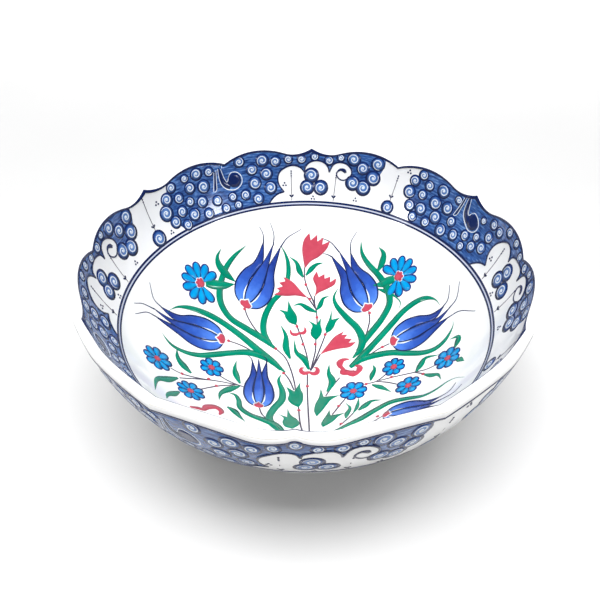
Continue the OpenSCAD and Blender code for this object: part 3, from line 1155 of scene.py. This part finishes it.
# Thin stems, as smooth lines through a few points
STEMS = [
    [(-44.5, 46), (-42, 40), (-36, 31.5), (-29, 25)], [(45.5, 43), (45.5, 36), (43.5, 29), (41.5, 24)],
    [(-53, 16), (-46, 15.5), (-39, 13.5), (-33, 10)], [(57, 12), (50, 10.5), (44, 8)],
    [(-28.5, -39), (-27, -45), (-24, -50)], [(1, -3), (1, -20), (1.5, -40), (2, -60), (2.5, -100)],
    [(-0.8, 83), (-1, 75), (1.5, 66), (5, 58), (7.5, 50), (8, 43), (8, 37)],
    [(1, 60), (4, 56), (7, 51)], [(6.6, 61), (6.4, 56), (7.2, 51)],
    [(7, 27), (6.5, 17), (4.5, 7), (3, 0)], [(14.5, 32), (10.5, 21), (6, 8), (3, 0)],
    [(9.8, 14), (6.5, 7), (3.2, 0)], [(-4.5, 32), (-2, 24), (0.5, 14), (2.5, 1)],
    [(-7, 39), (-5.5, 35), (-4.5, 32)], [(-21, 18), (-14, 11), (-10, 1), (-7.5, -10), (-6.5, -18)],
    [(-14, -3), (-10.5, -9), (-7.5, -18)], [(-4.5, -34), (-4, -44), (-3, -56), (0.5, -80)],
    [(-39, -21.5), (-49, -19.5), (-57, -16.5)],
    [(-44, -21), (-55, -22.5), (-68, -27), (-79, -30.5), (-87, -31)],
    [(-45, -21.5), (-54, -26.5), (-61, -32.5), (-66, -38)], [(-60, -24), (-70, -29), (-80, -36)],
    [(38, -18), (45, -18), (51, -14.5), (54, -12)], [(45, -18), (52, -22), (59, -28)],
    [(47, -18), (58, -19), (70, -22), (78, -24.5), (86, -25)], [(70, -22), (73, -25), (76, -28)],
    [(25, -28), (20.5, -35.5), (16, -44)], [(22, -8), (16.5, -16), (12.5, -24)],
    [(29, -45), (25, -51), (20, -58)], [(-20, -80), (-12, -84), (-4, -88)],
    [(30, -78), (20, -82), (8, -88)], [(-38, -69), (-26, -74), (-8, -80)],
    [(46, -57), (32, -66), (10, -82)],
]

# Red knots on the stems
NODE_SPOTS = [
    (-44.5, 45), (46, 41.5), (-53, 16), (-20.5, 17.5), (-2, 22.5), (6.5, 22.5), (8, 44), (0, 69.5),
    (2.8, 58.5), (-6.3, 37), (-14.5, -3), (1, -14), (-4.2, -38), (-62, -24), (-56.5, -28), (-79, -30.5),
    (38.5, -18.3), (55, -18.3), (20.3, -35.3), (21, -56), (75, -27.5), (43, -55.8), (13.5, 30), (52, 11),
]


def paint_stems():
    stems, nodes = Sheet(), Sheet()
    for line in STEMS:
        stems.stroke(line, (0.95, 1.1, 0.95))
    for x, y in NODE_SPOTS:
        nodes.disc(x, y, 1.15, 0.4, 10)
    lay("stems", stems, well_paper, 0.03, THREAD)
    lay("stem_nodes", nodes, well_paper, 0.18, RED)


# ---------------------------------------------------------------- stage, light and camera


# The floor's section from front to back, and half its width, in metres
FLOOR_SECTION = [(-2.0, 0), (0.9, 0), (1.15, 0.04), (1.35, 0.16), (1.47, 0.36), (1.5, 0.6), (1.5, 0.8)]
FLOOR_HALF = 2.2


def add_stage():
    """A pale floor that curves up into a pale backdrop."""
    points = [(x, y, z) for y, z in FLOOR_SECTION for x in (-FLOOR_HALF, FLOOR_HALF)]
    faces = [(2 * i, 2 * i + 1, 2 * i + 3, 2 * i + 2) for i in range(len(FLOOR_SECTION) - 1)]
    mesh = bpy.data.meshes.new("floor")
    mesh.from_pydata(points, [], faces)
    mesh.polygons.foreach_set("use_smooth", [True] * len(faces))
    material, shader, nodes, links = new_material("pale_paper", 0.9)
    cloud = noise(nodes, links, 4, 2.0)
    links.new(ramp(nodes, links, cloud, (0.3, (0.66, 0.66, 0.66)), (0.7, (0.68, 0.68, 0.68))),
              shader.inputs["Base Color"])
    shader.inputs["Specular IOR Level"].default_value = 0.1
    mesh.materials.append(material)
    floor = bpy.data.objects.new("floor", mesh)
    bpy.context.scene.collection.objects.link(floor)


def add_area_light(name, place, target, size, power):
    data = bpy.data.lights.new(name, "AREA")
    data.shape = "RECTANGLE"
    data.size, data.size_y = size
    data.energy = power
    light = bpy.data.objects.new(name, data)
    light.location = place
    light.rotation_euler = (Vector(target) - Vector(place)).to_track_quat("-Z", "Y").to_euler()
    bpy.context.scene.collection.objects.link(light)
    return light


def add_lights():
    """A high soft box with a low front fill, a light on the backdrop, and two lamps that only glint."""
    world = bpy.data.worlds.new("white_surround")
    world.use_nodes = True
    background = world.node_tree.nodes["Background"]
    background.inputs["Color"].default_value = (0.97, 0.98, 1.0, 1)
    background.inputs["Strength"].default_value = 1.0
    world.cycles_visibility.glossy = False
    world.cycles_visibility.diffuse = False
    bpy.context.scene.world = world
    middle = (0, 0, 0.08)
    soft_box = add_area_light("soft_box", (0, -0.55, 3.2), middle, (2.6, 1.3), 168)
    soft_box.visible_glossy = False
    fill = add_area_light("front_fill", (0, -1.7, 2.0), middle, (1.6, 0.8), 11)
    fill.visible_glossy = False
    back_light = add_area_light("back_light", (0, 1.0, 1.5), (0, 1.15, 0), (1.5, 0.3), 3)
    back_light.data.spread = math.radians(55)
    back_light.visible_glossy = False
    for name, place in (("right_lamp", (0.9, -0.49, 0.5)), ("left_lamp", (-0.92, -0.47, 0.49))):
        lamp = add_area_light(name, place, middle, (0.16, 0.26), 4.5)
        lamp.visible_diffuse = False


# The photograph's camera: degrees above the table, metres from the ring's middle, lens in mm
CAMERA_ELEVATION = 40.45
CAMERA_REACH = 0.3455
CAMERA_LENS = 35.33
CAMERA_SHIFT = (-0.0097, -0.0043)


def add_camera():
    """The photograph's view: close to the bowl, looking down on it from the front."""
    data = bpy.data.cameras.new("camera")
    data.sensor_width = 36
    data.lens = CAMERA_LENS
    data.shift_x, data.shift_y = CAMERA_SHIFT
    data.clip_start = 0.01
    camera = bpy.data.objects.new("camera", data)
    tilt = math.radians(CAMERA_ELEVATION)
    turn = math.radians(-TURN)
    flat = CAMERA_REACH * math.cos(tilt)
    height = RING_Z * MM + CAMERA_REACH * math.sin(tilt)
    camera.location = (flat * math.sin(turn), -flat * math.cos(turn), height)
    camera.rotation_euler = (math.pi / 2 - tilt, 0, turn)
    bpy.context.scene.collection.objects.link(camera)
    bpy.context.scene.camera = camera


bpy.context.scene.view_settings.view_transform = "Standard"
add_camera()
make_glaze()
dress_cad_nodes()
make_rim_line()
paint_band("inside", inside_paper, inside_repeats(), INSIDE_GAPS)
paint_band("outside", outside_paper, outside_repeats(), OUTSIDE_GAPS)
paint_ring("inside", inside_paper)
paint_ring("outside", outside_paper)
paint_leaves()
paint_stems()
paint_tulips()
paint_daisies()
paint_reds()
add_stage()
add_lights()
